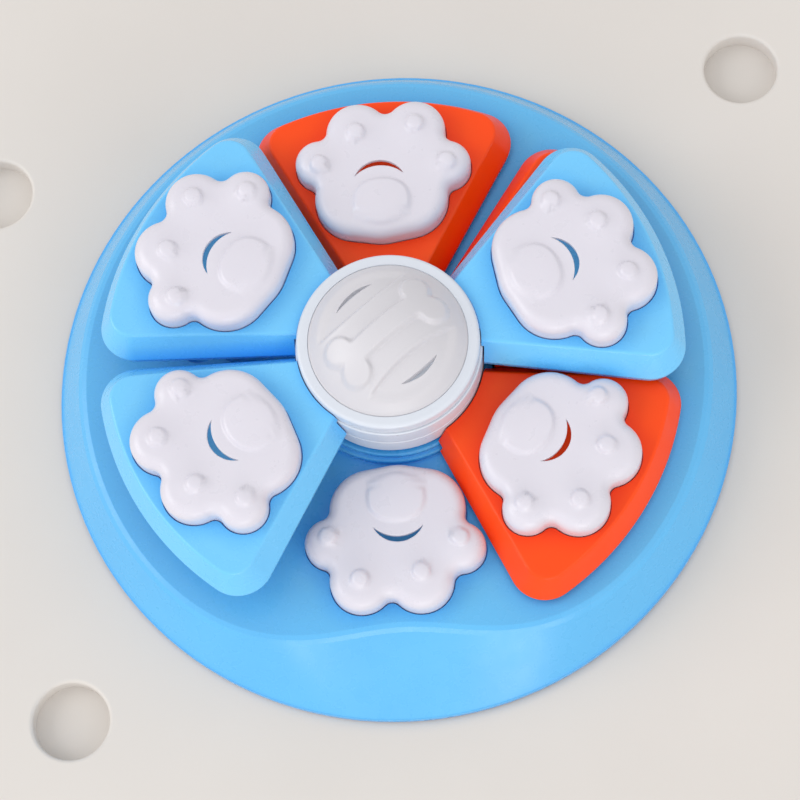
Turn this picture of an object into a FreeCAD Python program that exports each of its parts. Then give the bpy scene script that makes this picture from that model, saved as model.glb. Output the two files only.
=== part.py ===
import FreeCAD, Part
import math
import os

# Dog puzzle feeder: a round tray with paw-shaped wells, and turning leaves
# stacked in two tiers on a central spindle. Each leaf carries a well of its own.
# Millimetres, +Z up, origin at the centre of the footprint on the floor.

os.makedirs("parts", exist_ok=True)
Vector = FreeCAD.Vector

# How far a cut runs past the face it opens, and how finely edges are picked by height
PAST = 1.0
EDGE_TOL = 0.01

# Tray
RIM_R = 140.0
RIM_TOP_Z = 3.6
RIM_SET_BACK = 0.7
FOOT_LIFT = 1.0
DECK_Z = 25.0
CREST_R = 127.5
SCOOP_DEPTH = 20.7
SCOOP_SPREAD_DEG = 24.0
CREST_ROUND = 2.4
TRAY_WALL = 2.6
CREST_POINTS = 60
RIB_THICK = 2.0
RIB_HEAD_GAP = 1.0
RIB_TO_WALL = 0.05

# Raised steps round the hub on the tray
STEP_LOW_R = 40.5
STEP_LOW_H = 3.2
STEP_HIGH_R = 38.6
STEP_HIGH_H = 5.8
STEP_ROUND = 0.9

# Rubber feet
FOOT_R = 7.5
FOOT_SEAT_R = 116.0
FOOT_SEAT_DEPTH = 2.0
FOOT_BOSS_WALL = 1.6
FOOT_FIT = 0.1

# Paw shape: centres (outward, sideways) and radii of its round lobes,
# in turning order from the inner toe on the left hand
PAW_LOBES = [
    (16.5, 8.0, 12.9),
    (4.5, 24.3, 9.8),
    (-11.6, 10.2, 16.6),
    (-9.4, -0.2, 20.8),
    (-12.0, -10.6, 16.7),
    (0.5, -27.6, 9.8),
    (16.3, -15.5, 12.5),
]
HEEL_LOBES = (2, 3)
NOTCH_R = 4.0
TOE_BUTTONS = [(15.0, 8.5), (2.0, 24.0), (-0.8, -27.7), (17.0, -15.7)]
TOE_BUTTON_R = 3.9
TOE_BUTTON_H = 1.4
HEEL_PAD_AT = (-15.6, -0.4)
HEEL_PAD_R = (10.4, 12.0)
HEEL_PAD_H = 1.1
HEEL_PAD_EDGE = 0.9
SLOT_OUT = 1.2
SLOT_BACK = -4.0
SLOT_HALF_LENGTH = 9.9
SLOT_WIDTH = 2.4

# Paw lids and the wells that hold them
LID_CROWN = 11.0
LID_SHOULDER = 5.2
LID_PILLOW = 6.6
LID_PILLOW_STEPS = 5
LID_PLUG = 3.0
LID_WALL = 1.8
LID_FIT = 0.45
LID_REST_GAP = 0.2
LEDGE_WIDTH = 2.2
WELL_WALL = 1.5
WELL_FLOOR = 1.6

# Leaves
LEAF_HALF_DEG = 30.0
LEAF_TOP_HALF_DEG = 28.9
LEAF_TOP_INSET = 4.5
LEAF_SKIRT_INSET = 0.0
LEAF_FOOT_INSET = 0.4
LEAF_TOP_R = 111.8
LEAF_SKIRT_R = 117.0
LEAF_FOOT_R = 116.4
LEAF_TOP_CORNER = 9.0
LEAF_SKIRT_CORNER = 14.0
LEAF_BEVEL_DROP = 11.0
LEAF_HEIGHT = 14.2
LEAF_WALL = 2.0
LEAF_TOP_ROUND = 1.4
LEAF_POCKET_DEPTH = 12.0
LEAF_TO_HUB = 0.6
LEAF_TO_CAP = 0.4
LEAF_WELL_R = 79.0
WELL_LEAD_DEG = 1.0
TRAY_WELL_R = 72.6
TRAY_WELL_DEPTH = 17.0
STEP_CLEAR = 0.6

# Tiers
LOW_FACE_Z = 40.0
TIER_PITCH = 17.0

# Directions of the leaves and of the open tray well, degrees from +X
SCOOP_DIR = 270.0
LOW_LEAF_DIRS = {"orange_leaf_back": 90.1, "orange_leaf_middle": 26.1, "orange_leaf_front": 325.5}
PAIR_LEAF_DIRS = {"blue_leaf_left_back": 148.6, "blue_leaf_left_front": 210.8}
SINGLE_LEAF_DIRS = {"blue_leaf_right": 20.3}
TRAY_WELL_STEP = 60.0
TRAY_CUP_NAMES = ["front", "right_front", "right_back", "back", "left_back", "left_front"]

# Hub rings
HUB_R = 37.0
CAP_R = 36.2
HUB_WALL = 3.5
RING_EDGE = 0.4
CAP_EDGE_ROUND = 1.6
RING_GAP = 0.3
LOW_RING_BOTTOM_Z = 33.0
WEB_THICK = 2.0
LOW_WEB_Z = 36.2
SLEEVE_R = 14.0
CAP_RING_Z = 54.0
CAP_RING_TOP_Z = 60.3
CUP_R = 30.0
CUP_WALL = 1.8
CUP_FLOOR_THICK = 1.6
CUP_OVER_TONGUE = 0.5

# Spindle and what holds the stack down
SPINDLE_R = 10.0
SPINDLE_BORE_CLEAR = 0.05
SPINDLE_FLANGE_R = 17.0
SPINDLE_FLANGE_H = 4.0
SPINDLE_TOP_Z = 53.2
SPINDLE_CORE_R = 5.0
SLEEVE_END_GAP = 0.2
WASHER_R = 13.0
WASHER_THICK = 1.2
MAIN_SCREW_R = 2.0
MAIN_SCREW_HEAD_R = 4.2
MAIN_SCREW_HEAD_H = 2.2
MAIN_SCREW_LENGTH = 16.0
BASE_SCREW_CIRCLE_R = 13.0
BASE_SCREW_COUNT = 3

# Small screws and leaf tongues
SCREW_R = 1.4
SCREW_HEAD_R = 2.8
SCREW_HEAD_H = 1.8
SCREW_HOLE_FIT = 0.1
SCREW_SOCKET_R = 1.2
SCREW_SOCKET_DEPTH = 1.0
TONGUE_WIDTH = 18.0
TONGUE_THICK = 2.7
TONGUE_REACH = 13.0
TONGUE_SIDE_FIT = 0.15
TONGUE_SCREW_PITCH = 9.0
CAP_TONGUE_THICK = 2.6
CAP_TONGUE_REACH = 4.6
CAP_TONGUE_HALF_DEG = 14.0
CAP_SCREW_SPREAD_DEG = 9.0

# Bone lid
BONE_SEAT_R = 31.4
BONE_SEAT_FIT = 0.25
BONE_SEAT_Z = 58.2
BONE_EDGE_H = 2.0
BONE_EDGE_ROUND = 0.6
BONE_CROWN_H = 15.5
BONE_PLUG_H = 2.6
BONE_PLUG_FIT = 0.3
BONE_PLUG_WALL = 1.8
BONE_DIR = 38.4
BONE_HALF_LENGTH = 19.4
BONE_BAR_WIDTH = 9.6
BONE_LOBE_R = 5.4
BONE_LOBE_SPREAD = 5.3
BONE_RAISE = 2.3
DISH_R = 26.4
DISH_DEPTH = 1.3
RIDGE_AT = 13.1
RIDGE_BOW_R = 139.0
VENT_R = 22.0
VENT_SAG = 2.5
VENT_WIDTH = 1.9
VENT_HALF_LENGTH = 9.2
LID_SHELL = 2.0


def polar(radius, degrees, z=0.0):
    """Point at a radius and direction from the main axis."""
    a = math.radians(degrees)
    return Vector(radius * math.cos(a), radius * math.sin(a), z)


def turned(shape, degrees):
    """Copy of a shape turned about the main axis."""
    copy = shape.copy()
    copy.rotate(Vector(0, 0, 0), Vector(0, 0, 1), degrees)
    return copy


def disc(radius, low, high, at=None):
    """Upright cylinder between two heights."""
    place = at or Vector(0, 0, 0)
    return Part.makeCylinder(radius, high - low, Vector(place.x, place.y, low))


def ring(outer, inner, low, high):
    """Upright tube between two heights."""
    return disc(outer, low, high).cut(disc(inner, low - 1.0, high + 1.0))


def slab(wire, low, high):
    """Upright solid of a closed outline drawn at height zero."""
    body = Part.Face(wire).extrude(Vector(0, 0, high - low))
    body.translate(Vector(0, 0, low))
    return body


def one(shape):
    """The largest single solid of a result."""
    return max(shape.Solids, key=lambda s: s.Volume)


# Paw outline

def notch_centre(a, b, radius):
    """Centre of the small hollow that joins two neighbouring lobes on the outside."""
    ra = a[2] + radius
    rb = b[2] + radius
    dx = b[0] - a[0]
    dy = b[1] - a[1]
    d = math.hypot(dx, dy)
    along = (ra * ra - rb * rb + d * d) / (2.0 * d)
    off = math.sqrt(ra * ra - along * along)
    ux, uy = dx / d, dy / d
    return Vector(a[0] + along * ux + off * uy, a[1] + along * uy - off * ux, 0)


def towards(lobe, point):
    """Point on a lobe's edge in the direction of another point."""
    c = Vector(lobe[0], lobe[1], 0)
    n = point - c
    n.normalize()
    return c + n * lobe[2]


def heel_line(a, b):
    """Ends of the straight piece of edge that touches two lobes of the heel."""
    dx = b[0] - a[0]
    dy = b[1] - a[1]
    d = math.hypot(dx, dy)
    k = (a[2] - b[2]) / d
    s = math.sqrt(1.0 - k * k)
    n = Vector(dy / d * s + dx / d * k, -dx / d * s + dy / d * k, 0)
    return Vector(a[0], a[1], 0) + n * a[2], Vector(b[0], b[1], 0) + n * b[2]


def paw_joins(lobes, notch):
    """For each lobe, where the outline leaves it and meets the next, and how."""
    joins = []
    for i, a in enumerate(lobes):
        b = lobes[(i + 1) % len(lobes)]
        if i in HEEL_LOBES:
            p, q = heel_line(a, b)
            joins.append((p, q, None))
        else:
            f = notch_centre(a, b, notch)
            joins.append((towards(a, f), towards(b, f), f))
    return joins


def paw_wire(grow):
    """Outline of the paw, grown outward by a distance, about its own centre."""
    lobes = [(x, y, r + grow) for x, y, r in PAW_LOBES]
    notch = NOTCH_R - grow
    joins = paw_joins(lobes, notch)
    edges = []
    for i, lobe in enumerate(lobes):
        start = joins[i - 1][1]
        end, nxt, hollow = joins[i]
        c = Vector(lobe[0], lobe[1], 0)
        a0 = math.atan2(start.y - c.y, start.x - c.x)
        a1 = math.atan2(end.y - c.y, end.x - c.x)
        if a1 < a0:
            a1 += 2.0 * math.pi
        am = 0.5 * (a0 + a1)
        mid = c + Vector(math.cos(am), math.sin(am), 0) * lobe[2]
        edges.append(Part.Arc(start, mid, end).toShape())
        if hollow is None:
            edges.append(Part.LineSegment(end, nxt).toShape())
        else:
            m = (end + nxt) * 0.5 - hollow
            m.normalize()
            edges.append(Part.Arc(end, hollow + m * notch, nxt).toShape())
    return Part.Wire(edges)


def paw_slab(grow, low, high, centre_r):
    """Upright paw-shaped solid with its centre out along +X."""
    body = slab(paw_wire(grow), low, high)
    body.translate(Vector(centre_r, 0, 0))
    return body


# Paw lid, drawn with its centre on the main axis and the surface it sits in at height zero

def slot_cut():
    """Crescent that lets the smell out, hollow side towards the heel."""
    low = -LID_PLUG
    a = Vector(SLOT_BACK, -SLOT_HALF_LENGTH, 0)
    b = Vector(SLOT_BACK, SLOT_HALF_LENGTH, 0)
    outer = Part.Arc(a, Vector(SLOT_OUT + 0.5 * SLOT_WIDTH, 0, 0), b).toShape()
    inner = Part.Arc(b, Vector(SLOT_OUT - 0.5 * SLOT_WIDTH, 0, 0), a).toShape()
    return slab(Part.Wire([outer, inner]), low, 2.0 * LID_CROWN)


def toe_button(at):
    """Low round button on a toe."""
    r = (TOE_BUTTON_R ** 2 + TOE_BUTTON_H ** 2) / (2.0 * TOE_BUTTON_H)
    ball = Part.makeSphere(r, Vector(at[0], at[1], LID_CROWN + TOE_BUTTON_H - r))
    return ball.common(disc(2.0 * TOE_BUTTON_R, LID_CROWN - 0.5 * LID_WALL, 2.0 * LID_CROWN,
                            Vector(at[0], at[1], 0)))


def heel_pad():
    """Raised oval on the heel."""
    pad = Part.Wire(Part.Ellipse(Vector(0, 0, 0), HEEL_PAD_R[1], HEEL_PAD_R[0]).toShape())
    body = slab(pad, LID_CROWN - LID_WALL + 0.1, LID_CROWN + HEEL_PAD_H)
    top = [e for e in body.Edges if e.BoundBox.ZMin > LID_CROWN]
    body = body.makeFillet(HEEL_PAD_EDGE, top)
    body.rotate(Vector(0, 0, 0), Vector(0, 0, 1), 90.0)
    body.translate(Vector(HEEL_PAD_AT[0], HEEL_PAD_AT[1], 0))
    return body


def paw_pillow(set_back, low):
    """Solid under the swelling top of a lid, set back all over; it dips in at the notches."""
    wires = []
    for g in range(LID_PILLOW_STEPS + 1):
        t = 0.5 * math.pi * g / LID_PILLOW_STEPS
        wire = paw_wire(-set_back - (LID_PILLOW - set_back) * (1.0 - math.cos(t)))
        rise = (LID_CROWN - LID_SHOULDER) * math.sin(t)
        wire.translate(Vector(0, 0, LID_SHOULDER - set_back + rise))
        wires.append(wire)
    top = Part.makeLoft(wires, True, False)
    return top.fuse(slab(paw_wire(-set_back), low, LID_SHOULDER - set_back))


def paw_lid_body():
    """Puffed hollow cover with four toes, a heel pad, toe buttons and a crescent slot."""
    body = paw_pillow(0.0, -LID_PLUG).cut(paw_pillow(LID_WALL, -LID_PLUG - 1.0))
    for at in TOE_BUTTONS:
        body = body.fuse(toe_button(at))
    body = body.fuse(heel_pad())
    return one(body.cut(slot_cut()))


def paw_lid(body, face_z, centre_r, direction):
    """Lid seated in the well of a leaf or of the tray."""
    lid = body.copy()
    lid.translate(Vector(centre_r, 0, face_z))
    return turned(lid, direction)


def ledge_z(face_z):
    """Height of the ledge that a lid's rim stands over."""
    return face_z - LID_PLUG - LID_REST_GAP


def cup_top_z(face_z):
    """Underside of the ledge, where the treat cup starts."""
    return ledge_z(face_z) - WELL_WALL


def lid_seat(face_z, centre_r):
    """Block under a surface that the lid's recess is sunk into."""
    return paw_slab(LID_FIT + WELL_WALL, cup_top_z(face_z), face_z, centre_r)


def lid_seat_room(face_z, centre_r):
    """Recess for the lid's rim, and the opening inside its ledge."""
    wide = paw_slab(LID_FIT, ledge_z(face_z), face_z + PAST, centre_r)
    deep = paw_slab(-LEDGE_WIDTH, cup_top_z(face_z) - PAST, face_z, centre_r)
    return wide.fuse(deep)


def treat_cup(face_z, centre_r, depth):
    """Paw-shaped cup that hangs under the ledge and holds the treats."""
    floor_z = face_z - depth
    body = paw_slab(WELL_WALL - LEDGE_WIDTH, floor_z - WELL_FLOOR, cup_top_z(face_z), centre_r)
    return body.cut(paw_slab(-LEDGE_WIDTH, floor_z, face_z, centre_r))


# Tray

def crest_radius(degrees):
    """Distance from the axis to the edge of the deck, with the scoop at the front."""
    off = (degrees - SCOOP_DIR + 180.0) % 360.0 - 180.0
    return CREST_R - SCOOP_DEPTH * math.exp(-(off / SCOOP_SPREAD_DEG) ** 2)


def round_wire(radius_of, z):
    """Smooth closed outline through points at even angles."""
    step = 360.0 / CREST_POINTS
    points = [polar(radius_of(i * step), i * step, z) for i in range(CREST_POINTS)]
    curve = Part.BSplineCurve()
    curve.interpolate(points, PeriodicFlag=True)
    return Part.Wire([curve.toShape()])


def flank(z_and_radius):
    """Solid through a stack of round outlines."""
    wires = [round_wire(f, z) for z, f in z_and_radius]
    return Part.makeLoft(wires, True, True)


def drum(set_back):
    """Low drum with a sloping flank and a rounded crest, set back all over from the outside."""
    top_z = DECK_Z - set_back
    return flank([
        (0.0, lambda d: RIM_R - RIM_SET_BACK - set_back),
        (RIM_TOP_Z, lambda d: RIM_R - RIM_SET_BACK - set_back),
        (top_z - CREST_ROUND, lambda d: crest_radius(d) + 0.7 * CREST_ROUND - set_back),
        (top_z - 0.3 * CREST_ROUND, lambda d: crest_radius(d) - set_back),
        (top_z, lambda d: crest_radius(d) - 0.8 * CREST_ROUND - set_back),
    ])


def tray_shell():
    """Drum with a lip at the rim, hollow and open underneath."""
    outside = drum(0.0).fuse(disc(RIM_R, FOOT_LIFT, RIM_TOP_Z))
    outside = outside.cut(disc(2.0 * RIM_R, -1.0, FOOT_LIFT))
    return outside.cut(drum(TRAY_WALL))


def hub_steps():
    """Two round steps with soft edges that stand on the deck round the spindle."""
    body = disc(STEP_LOW_R, DECK_Z - TRAY_WALL, DECK_Z + STEP_LOW_H)
    body = body.fuse(disc(STEP_HIGH_R, DECK_Z - TRAY_WALL, DECK_Z + STEP_HIGH_H))
    edges = [e for e in body.Edges if e.BoundBox.ZLength < EDGE_TOL and e.Curve.Radius > HUB_R
             and (abs(e.BoundBox.ZMin - DECK_Z - STEP_LOW_H) < EDGE_TOL and e.Curve.Radius > STEP_HIGH_R
                  or e.BoundBox.ZMin > DECK_Z + STEP_HIGH_H - EDGE_TOL)]
    return body.makeFillet(STEP_ROUND, edges)


def tray_well_dirs():
    """Directions of the tray's wells."""
    count = int(round(360.0 / TRAY_WELL_STEP))
    return [(SCOOP_DIR + i * TRAY_WELL_STEP) % 360.0 for i in range(count)]


def rib_dirs():
    """Directions of the ribs and feet, halfway between the wells."""
    return [d + 0.5 * TRAY_WELL_STEP for d in tray_well_dirs()]


def foot_ribs():
    """Ribs with foot bosses that stand under the deck between the treat cups."""
    low = FOOT_LIFT + RIB_HEAD_GAP
    high = DECK_Z - TRAY_WALL
    rib = Part.makeBox(RIM_R, RIB_THICK, high - low, Vector(0, -0.5 * RIB_THICK, low))
    rib = rib.cut(disc(STEP_HIGH_R - TRAY_WALL, 0.0, high + PAST))
    at = Vector(FOOT_SEAT_R, 0, 0)
    boss = disc(FOOT_R + FOOT_FIT + FOOT_BOSS_WALL, FOOT_LIFT, high, at)
    seat = disc(FOOT_R + FOOT_FIT, FOOT_LIFT - PAST, FOOT_LIFT + FOOT_SEAT_DEPTH, at)
    side = rib.fuse(boss).cut(seat)
    dirs = rib_dirs()
    sides = turned(side, dirs[0]).multiFuse([turned(side, d) for d in dirs[1:]])
    seats = [turned(lid_seat(DECK_Z, TRAY_WELL_R), d) for d in tray_well_dirs()]
    sides = sides.common(drum(TRAY_WALL + RIB_TO_WALL)).cut(seats[0].multiFuse(seats[1:]))
    return Part.makeCompound(sides.Solids)


def tray():
    """Deck, flank, lid seats and hub steps in one moulding."""
    shell = tray_shell()
    top_z = DECK_Z + STEP_HIGH_H
    shell = shell.fuse(hub_steps()).cut(disc(STEP_HIGH_R - TRAY_WALL, 0.0, top_z - TRAY_WALL))
    seat = lid_seat(DECK_Z, TRAY_WELL_R)
    room = lid_seat_room(DECK_Z, TRAY_WELL_R)
    dirs = tray_well_dirs()
    shell = shell.multiFuse([turned(seat, d) for d in dirs])
    rooms = [turned(room, d) for d in dirs]
    shell = shell.cut(rooms[0].multiFuse(rooms[1:]))
    holes = [disc(SCREW_R + SCREW_HOLE_FIT, DECK_Z, top_z + PAST, p) for p in base_screw_points()]
    return one(shell.cut(holes[0].multiFuse(holes[1:])))


def rubber_feet():
    """Grip pads pressed into the bosses, standing proud by the lift."""
    foot = disc(FOOT_R, 0.0, FOOT_LIFT + FOOT_SEAT_DEPTH, Vector(FOOT_SEAT_R, 0, 0))
    edges = [e for e in foot.Edges if e.BoundBox.ZMax < 0.01]
    foot = foot.makeChamfer(0.5, edges)
    return Part.makeCompound([turned(foot, d) for d in rib_dirs()])


# Spindle

def base_screw_points():
    """Places of the screws that hold the spindle to the tray."""
    step = 360.0 / BASE_SCREW_COUNT
    return [polar(BASE_SCREW_CIRCLE_R, i * step) for i in range(BASE_SCREW_COUNT)]


def spindle():
    """Fixed hollow post with a flange, on which all rings turn."""
    low = DECK_Z + STEP_HIGH_H
    body = disc(SPINDLE_FLANGE_R, low, low + SPINDLE_FLANGE_H).fuse(disc(SPINDLE_R, low, SPINDLE_TOP_Z))
    body = body.cut(disc(SPINDLE_CORE_R, low - 1.0, SPINDLE_TOP_Z - MAIN_SCREW_LENGTH))
    body = body.cut(disc(MAIN_SCREW_R, low, SPINDLE_TOP_Z + 1.0))
    for p in base_screw_points():
        body = body.cut(disc(SCREW_R, low - 1.0, low + SPINDLE_FLANGE_H - 0.6, p))
    return one(body)


def screw(at, head_z, length, up):
    """Pan-head screw with a hexagon-free round drive hole, head at a height."""
    sense = 1.0 if up else -1.0
    shank_low = min(head_z, head_z + sense * length)
    shank = disc(SCREW_R, shank_low, shank_low + length, at)
    head_low = head_z - SCREW_HEAD_H if up else head_z
    head = disc(SCREW_HEAD_R, head_low, head_low + SCREW_HEAD_H, at)
    socket_low = head_low - 1.0 if up else head_low + SCREW_HEAD_H - SCREW_SOCKET_DEPTH
    socket = disc(SCREW_SOCKET_R, socket_low, socket_low + SCREW_SOCKET_DEPTH + 1.0, at)
    return one(shank.fuse(head).cut(socket))


def spindle_screws():
    """Screws driven up through the tray into the spindle's flange."""
    head_z = DECK_Z + STEP_HIGH_H - TRAY_WALL
    length = TRAY_WALL + SPINDLE_FLANGE_H - 1.0
    return Part.makeCompound([screw(p, head_z, length, True) for p in base_screw_points()])


def main_washer():
    """Wide washer that keeps the stack on the spindle."""
    body = ring(WASHER_R, MAIN_SCREW_R + 0.2, SPINDLE_TOP_Z, SPINDLE_TOP_Z + WASHER_THICK)
    edges = [e for e in body.Edges if e.BoundBox.XLength > 2.0 * WASHER_R - 0.1]
    return one(body.makeChamfer(0.3, edges))


def main_screw():
    """Large screw in the top of the spindle, with a cross slot."""
    seat = SPINDLE_TOP_Z + WASHER_THICK
    head = disc(MAIN_SCREW_HEAD_R, seat, seat + MAIN_SCREW_HEAD_H)
    head = head.makeFillet(0.8, [e for e in head.Edges if e.BoundBox.ZMin > seat + 0.1])
    shank = disc(MAIN_SCREW_R, seat - MAIN_SCREW_LENGTH + 2.0, seat)
    arm = Part.makeBox(MAIN_SCREW_HEAD_R * 1.2, 1.0, 1.2)
    arm.translate(Vector(-MAIN_SCREW_HEAD_R * 0.6, -0.5, seat + MAIN_SCREW_HEAD_H - 1.1))
    return one(head.fuse(shank).cut(arm.fuse(turned(arm, 90.0))))


# Leaves

def side_corner(half_deg, inset, outer_r, corner_r):
    """Where the corner arc starts on the side and ends on the outer arc, and its middle."""
    a = math.radians(half_deg)
    normal = Vector(-math.sin(a), math.cos(a), 0)
    along = Vector(math.cos(a), math.sin(a), 0)
    side_off = -inset - corner_r
    reach = math.sqrt((outer_r - corner_r) ** 2 - side_off ** 2)
    centre = along * reach + normal * side_off
    on_side = centre + normal * corner_r
    out = Vector(centre)
    out.normalize()
    on_arc = centre + out * corner_r
    mid = normal + out
    mid.normalize()
    return on_side, centre + mid * corner_r, on_arc


def flipped(v):
    """Point mirrored to the other side of the leaf."""
    return Vector(v.x, -v.y, v.z)


def leaf_wire(half_deg, inset, outer_r, corner_r, inner_r, z):
    """Sector outline with rounded outer corners, pointing along +X."""
    on_side, corner_mid, on_arc = side_corner(half_deg, inset, outer_r, corner_r)
    a = math.radians(half_deg)
    along = Vector(math.cos(a), math.sin(a), 0)
    normal = Vector(-math.sin(a), math.cos(a), 0)
    root = along * math.sqrt(inner_r ** 2 - inset ** 2) + normal * (-inset)
    edges = [
        Part.LineSegment(root, on_side).toShape(),
        Part.Arc(on_side, corner_mid, on_arc).toShape(),
        Part.Arc(on_arc, Vector(outer_r, 0, 0), flipped(on_arc)).toShape(),
        Part.Arc(flipped(on_arc), flipped(corner_mid), flipped(on_side)).toShape(),
        Part.LineSegment(flipped(on_side), flipped(root)).toShape(),
        Part.Arc(flipped(root), Vector(inner_r, 0, 0), root).toShape(),
    ]
    wire = Part.Wire(edges)
    wire.translate(Vector(0, 0, z))
    return wire


def leaf_form(face_z, shrink, inner_r):
    """Bevelled block of a leaf, or the space inside it when shrunk."""
    corner = LEAF_SKIRT_CORNER - shrink
    low_z = face_z - LEAF_HEIGHT - (PAST if shrink else 0.0)
    skirt_z = face_z - LEAF_BEVEL_DROP
    foot = leaf_wire(LEAF_HALF_DEG, LEAF_FOOT_INSET + shrink, LEAF_FOOT_R - shrink, corner, inner_r, low_z)
    skirt = leaf_wire(LEAF_HALF_DEG, LEAF_SKIRT_INSET + shrink, LEAF_SKIRT_R - shrink, corner, inner_r, skirt_z)
    top = leaf_wire(LEAF_TOP_HALF_DEG, LEAF_TOP_INSET + shrink, LEAF_TOP_R - shrink,
                    LEAF_TOP_CORNER - 0.5 * shrink, inner_r, face_z - shrink)
    return Part.makeLoft([foot, skirt, top], True, True)


def leaf_outside(face_z):
    """Solid block of a leaf, reaching in over the hub ring as far as the cap ring's wall."""
    inner_r = CAP_R + LEAF_TO_CAP
    block = leaf_form(face_z, 0.0, inner_r)
    top = [e for e in block.Edges if e.BoundBox.ZMin > face_z - EDGE_TOL and e.BoundBox.XMax > HUB_R + LEAF_TO_HUB]
    block = block.makeFillet(LEAF_TOP_ROUND, top)
    hub_low = face_z - LEAF_HEIGHT - PAST
    return block.cut(disc(HUB_R + LEAF_TO_HUB, hub_low, max(CAP_RING_Z, hub_low + PAST)))


def leaf_body(face_z):
    """Hollow leaf with its lid seat, open underneath, pointing along +X."""
    outside = leaf_outside(face_z)
    inside = leaf_form(face_z, LEAF_WALL, HUB_R + LEAF_TO_HUB + LEAF_WALL)
    seat = turned(lid_seat(face_z, LEAF_WELL_R), WELL_LEAD_DEG).common(outside)
    body = outside.cut(inside).fuse(seat)
    return body.cut(turned(lid_seat_room(face_z, LEAF_WELL_R), WELL_LEAD_DEG))


def tongue_screw_points(ring_r):
    """Places of the two screws in a leaf's tongue, leaf along +X."""
    x = ring_r - HUB_WALL - 0.5 * (TONGUE_REACH - HUB_WALL)
    return [Vector(x, s * 0.5 * TONGUE_SCREW_PITCH, 0) for s in (-1.0, 1.0)]


def leaf_tongue(bottom_z, ring_r):
    """Flat tongue that reaches under the hub ring's web."""
    length = TONGUE_REACH + LEAF_TO_HUB + 0.5 * LEAF_WALL
    body = Part.makeBox(length, TONGUE_WIDTH, TONGUE_THICK,
                        Vector(ring_r - TONGUE_REACH, -0.5 * TONGUE_WIDTH, bottom_z))
    for p in tongue_screw_points(ring_r):
        body = body.cut(disc(SCREW_R, bottom_z - 1.0, bottom_z + TONGUE_THICK + 1.0, p))
    return body


def tier_leaf(face_z, tongue_z):
    """Leaf with its tongue at a height."""
    return leaf_body(face_z).fuse(leaf_tongue(tongue_z, HUB_R))


def low_leaf():
    """Leaf of the lower tier, cut back where it passes over the hub steps."""
    body = tier_leaf(LOW_FACE_Z, LOW_WEB_Z - TONGUE_THICK)
    over = disc(STEP_LOW_R + STEP_CLEAR, 0.0, DECK_Z + STEP_HIGH_H + STEP_CLEAR)
    return one(body.cut(over))


def cap_tongue(extra):
    """Curved tongue that enters the cap ring from outside, with room when grown."""
    low = CAP_RING_Z
    outer = CAP_R + LEAF_TO_HUB + LEAF_WALL + 2.0
    band = ring(outer, CAP_R - CAP_TONGUE_REACH - extra, low, low + CAP_TONGUE_THICK + extra)
    a = CAP_TONGUE_HALF_DEG + math.degrees(extra / CAP_R)
    p0 = Vector(0, 0, 0)
    p1 = polar(2.0 * outer, -a)
    p2 = polar(2.0 * outer, a)
    wedge = slab(Part.makePolygon([p0, p1, p2, p0]), low - 1.0, low + 2.0 * CAP_TONGUE_THICK)
    return band.common(wedge)


def cap_screw_points():
    """Places of the screws that hold the single leaf to the cap ring, leaf along +X."""
    r = CAP_R - 0.5 * CAP_TONGUE_REACH
    return [polar(r, s * CAP_SCREW_SPREAD_DEG) for s in (-1.0, 1.0)]


def single_leaf():
    """Leaf that hangs from the cap ring beside the middle ring."""
    face_z = LOW_FACE_Z + TIER_PITCH
    body = leaf_body(face_z).fuse(cap_tongue(0.0))
    for p in cap_screw_points():
        body = body.cut(disc(SCREW_R, CAP_RING_Z - 1.0, CAP_RING_TOP_Z, p))
    return one(body)


# Hub rings

def low_ring_top():
    """Top of the lower ring, where the middle ring starts."""
    return CAP_RING_Z - (CAP_RING_Z - LOW_RING_BOTTOM_Z) * 0.5


def cup_bottom():
    """Underside of the centre cup, just over the tongues in the middle ring."""
    return low_ring_top() + WEB_THICK + TONGUE_THICK + CUP_OVER_TONGUE


def ring_with_web(bottom_z, top_z, web_z, leaf_dirs):
    """Ring with a flat web that the leaf tongues are screwed to."""
    body = ring(HUB_R, HUB_R - HUB_WALL, bottom_z, top_z)
    rims = [e for e in body.Edges if e.BoundBox.XLength > 2.0 * HUB_R - 0.1]
    body = body.makeChamfer(RING_EDGE, rims)
    body = body.fuse(disc(HUB_R - 0.5 * HUB_WALL, web_z, web_z + WEB_THICK))
    for d in leaf_dirs:
        for p in tongue_screw_points(HUB_R):
            hole = disc(SCREW_R + SCREW_HOLE_FIT, web_z - 1.0, web_z + WEB_THICK + 1.0, p)
            body = body.cut(turned(hole, d))
    return body


def with_sleeve(body, low, high):
    """Ring with the sleeve that runs on the spindle."""
    body = body.fuse(disc(SLEEVE_R, low, high))
    return body.cut(disc(SPINDLE_R + SPINDLE_BORE_CLEAR, low - 1.0, high + 1.0))


def tongue_slot(low, high):
    """Room for a leaf's tongue through the wall of a ring, leaf along +X."""
    width = TONGUE_WIDTH + 2.0 * TONGUE_SIDE_FIT
    length = HUB_WALL + 4.0
    return Part.makeBox(length, width, high - low, Vector(HUB_R - HUB_WALL - 2.5, -0.5 * width, low))


def low_hub_ring():
    """White ring that carries the three leaves of the lower tier on tongues under its web."""
    dirs = LOW_LEAF_DIRS.values()
    top_z = low_ring_top() - RING_GAP
    body = ring_with_web(LOW_RING_BOTTOM_Z, top_z, LOW_WEB_Z, dirs)
    slot = tongue_slot(LOW_RING_BOTTOM_Z - 1.0, LOW_WEB_Z)
    for d in dirs:
        body = body.cut(turned(slot, d))
    sleeve_low = DECK_Z + STEP_HIGH_H + SPINDLE_FLANGE_H + SLEEVE_END_GAP
    return one(with_sleeve(body, sleeve_low, top_z))


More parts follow.
